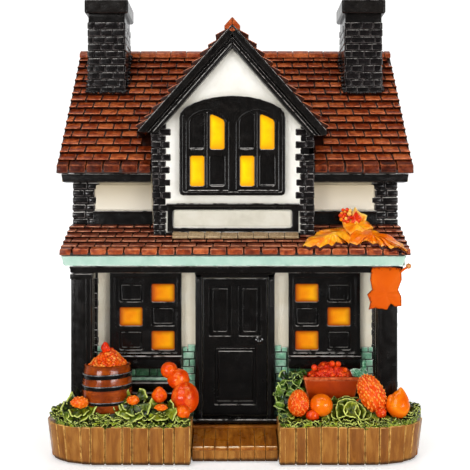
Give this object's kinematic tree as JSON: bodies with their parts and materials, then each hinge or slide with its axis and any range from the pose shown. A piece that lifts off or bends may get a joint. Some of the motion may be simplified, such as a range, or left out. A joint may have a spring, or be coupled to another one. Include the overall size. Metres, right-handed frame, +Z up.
{
  "type": "lighted house figurine",
  "caption": "Hollow cast cottage figurine with a porch, gable window and planked garden base, lit from inside through amber panes by a battery unit in its underside.",
  "frame": {"origin": "centre of the footprint, on the surface the foot pads stand on", "axes": "+Z up along the height, +Y towards the back so that the front with the door faces -Y, +X to the right of a viewer facing the front"},
  "size_m": [0.139, 0.11, 0.178],
  "materials": {
    "wood_brown": "satin painted resin, plank relief",
    "stucco_white": "semi-gloss painted resin",
    "tile_rust": "gloss painted resin, tile relief",
    "enamel_black": "high gloss black paint",
    "brick_black": "gloss black paint, brick relief",
    "fascia_mint": "semi-gloss paint",
    "pane_amber": "translucent amber sheet, lit from behind",
    "foliage_green": "gloss painted resin",
    "barrel_brown": "gloss painted resin",
    "crate_terracotta": "gloss painted resin",
    "gourd_orange": "gloss painted resin",
    "leaf_orange": "gloss painted resin",
    "plastic_black": "moulded, fine texture",
    "plastic_white": "moulded",
    "led_lens": "clear domed lens, lit",
    "steel_zinc": "zinc plated",
    "cell_case": "plain wrapped steel can",
    "lead_red": "insulation",
    "lead_black": "insulation",
    "pad_dark": "soft pad"
  },
  "bodies": {
    "house": {"base_casting": "wood_brown", "front_step": "wood_brown", "house_shell": "stucco_white", "main_roof_front": "tile_rust", "main_roof_rear": "tile_rust", "gable_roof": "tile_rust", "gable_bargeboard": "enamel_black", "gable_bay": "stucco_white", "window_frame_gable": "enamel_black", "window_pane_gable": "pane_amber", "chimney_left": "brick_black", "chimney_right": "brick_black", "porch_roof": "tile_rust", "porch_fascia": "fascia_mint", "porch_beam": "enamel_black", "porch_post_left": "enamel_black", "porch_post_right": "enamel_black", "window_frame_left": "enamel_black", "window_pane_left": "pane_amber", "window_frame_right": "enamel_black", "window_pane_right": "pane_amber", "door_frame": "enamel_black", "door_leaf": "enamel_black", "door_knob": "enamel_black", "garden_left": "foliage_green", "garden_right": "foliage_green", "barrel": "barrel_brown", "barrel_fruit": "gourd_orange", "crate": "crate_terracotta", "crate_berries": "gourd_orange", "gourd_cluster_left": "gourd_orange", "gourd_right_bumpy": "gourd_orange", "gourd_right_round": "gourd_orange", "gourd_right_tall": "gourd_orange", "gourd_right_pear": "gourd_orange", "leaf_spray": "leaf_orange", "post_leaf": "leaf_orange", "bottom_plate": "plastic_black", "plate_screw_1": "steel_zinc", "plate_screw_2": "steel_zinc", "battery_1": "cell_case", "battery_2": "cell_case", "contact_bridge": "steel_zinc", "contact_positive": "steel_zinc", "contact_negative": "steel_zinc", "switch_body": "plastic_black", "led_post": "plastic_white", "led_lower": "led_lens", "led_upper": "led_lens", "lead_wire_red": "lead_red", "lead_wire_black": "lead_black", "foot_pad_1": "pad_dark", "foot_pad_2": "pad_dark", "foot_pad_3": "pad_dark", "foot_pad_4": "pad_dark"},
    "battery_door": {"battery_door": "plastic_black", "battery_door_screw": "steel_zinc"},
    "switch_slider": {"switch_slider": "plastic_white"}
  },
  "joints": [
    {"name": "battery_door_swing", "type": "hinge", "parent": "house", "child": "battery_door", "pos_m": [0, -0.0073, 0.0016], "axis": [-1, 0, 0], "range_deg": [0, 85]},
    {"name": "switch_slide", "type": "slide", "parent": "house", "child": "switch_slider", "axis": [0, 1, 0], "range_m": [0, 0.003]}
  ]
}
